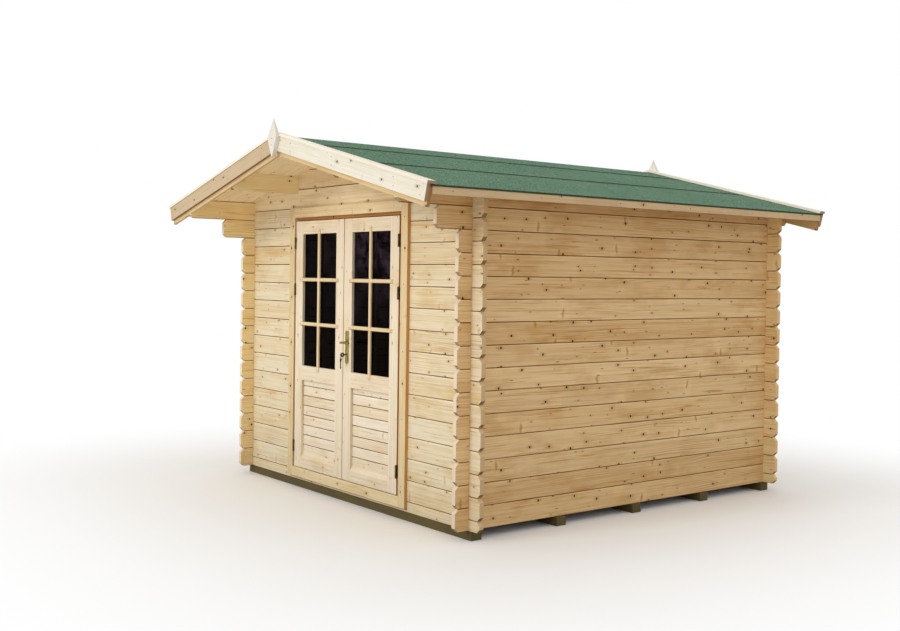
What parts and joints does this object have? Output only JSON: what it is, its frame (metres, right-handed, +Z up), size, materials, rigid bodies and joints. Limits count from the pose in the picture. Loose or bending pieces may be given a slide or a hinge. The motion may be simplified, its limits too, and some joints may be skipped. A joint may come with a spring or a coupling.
{
  "type": "log cabin",
  "caption": "Small timber cabin of interlocking wall logs with a felted saddle roof, deep front overhang and a pair of half-glazed doors.",
  "frame": {"origin": "middle of the plan on the ground, on the underside of the middle bearer", "axes": "+Z up, -Y out of the doors, +X to the right of someone who faces the doors"},
  "size_m": [2.9708, 3.263, 2.2789],
  "materials": {
    "spruce": "planed, untreated",
    "pale_trim": "planed, untreated",
    "treated_timber": "pressure treated, sawn",
    "roofing_felt": "mineral grains",
    "glass": "clear",
    "steel": "zinc plated",
    "brass": "polished"
  },
  "bodies": {
    "cabin": {"foundation_bearers": "treated_timber", "floor": "spruce", "left_wall_logs": "spruce", "right_wall_logs": "spruce", "back_wall_logs": "spruce", "front_sill_log": "spruce", "front_wall_logs_left": "spruce", "front_wall_logs_right": "spruce", "front_gable_logs": "spruce", "back_gable_logs": "spruce", "roof_purlins": "spruce", "roof_boards_left": "spruce", "roof_boards_right": "spruce", "felt_eaves_strips": "roofing_felt", "felt_middle_strips": "roofing_felt", "felt_ridge_strip": "roofing_felt", "eaves_trims": "spruce", "front_barge_boards": "pale_trim", "back_barge_boards": "pale_trim", "front_verge_battens": "spruce", "back_verge_battens": "spruce", "front_barge_caps": "pale_trim", "back_barge_caps": "pale_trim", "front_finial": "pale_trim", "back_finial": "pale_trim", "door_jambs": "pale_trim", "door_head": "pale_trim", "door_threshold": "pale_trim", "architrave_uprights": "pale_trim", "architrave_head": "pale_trim", "inside_trim": "spruce", "frame_hinges": "steel"},
    "left_leaf": {"left_leaf_stiles": "pale_trim", "left_leaf_rails": "pale_trim", "left_leaf_panel": "spruce", "left_leaf_glass": "glass", "left_leaf_hinges": "steel"},
    "right_leaf": {"right_leaf_stiles": "pale_trim", "right_leaf_rails": "pale_trim", "right_leaf_panel": "spruce", "right_leaf_glass": "glass", "right_leaf_hinges": "steel", "handle_plates": "brass"},
    "handle": {"handle_lever": "brass"}
  },
  "joints": [
    {"name": "left_door_hinge", "type": "hinge", "parent": "cabin", "child": "left_leaf", "pos_m": [-0.58, -1.284, 0.93], "axis": [0, 0, -1], "range_deg": [0, 160]},
    {"name": "right_door_hinge", "type": "hinge", "parent": "cabin", "child": "right_leaf", "pos_m": [0.58, -1.284, 0.93], "axis": [0, 0, 1], "range_deg": [0, 160]},
    {"name": "handle_turn", "type": "hinge", "parent": "right_leaf", "child": "handle", "pos_m": [0.045, -1.258, 0.9715], "axis": [0, 1, 0], "range_deg": [0, 45], "stiffness_Nm_per_rad": 1.5, "springref_deg": -17.19}
  ]
}
